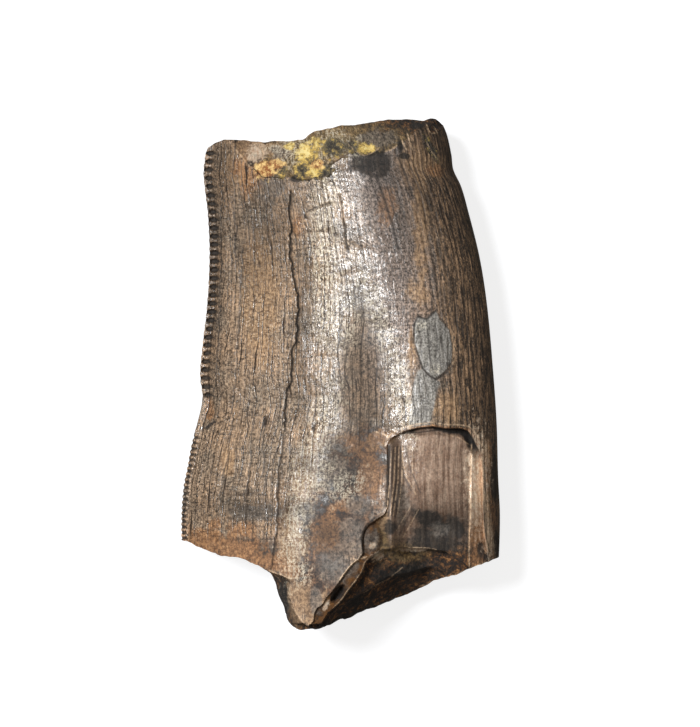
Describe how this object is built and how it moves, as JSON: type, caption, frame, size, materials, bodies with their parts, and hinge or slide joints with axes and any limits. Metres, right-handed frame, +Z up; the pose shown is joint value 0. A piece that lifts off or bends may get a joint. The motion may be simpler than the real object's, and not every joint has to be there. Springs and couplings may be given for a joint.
{
  "type": "fossil tooth crown fragment",
  "caption": "Broken length of a fossil tyrannosaur tooth crown with a saw-toothed edge, a spalled window and rough breaks at both ends, lying on its flatter side.",
  "frame": {"origin": "on the ground, under the middle of the fragment's box", "axes": "+Z up from the flatter side that it lies on; +Y along the crown towards the broken tip end; +X towards the rounded front edge, so the saw edge is at -X"},
  "size_m": [0.0192, 0.0308, 0.0114],
  "materials": {
    "fossil_enamel": "worn natural polish over fine lengthwise grain"
  },
  "bodies": {
    "root": {"tooth_crown": "fossil_enamel"}
  },
  "joints": []
}
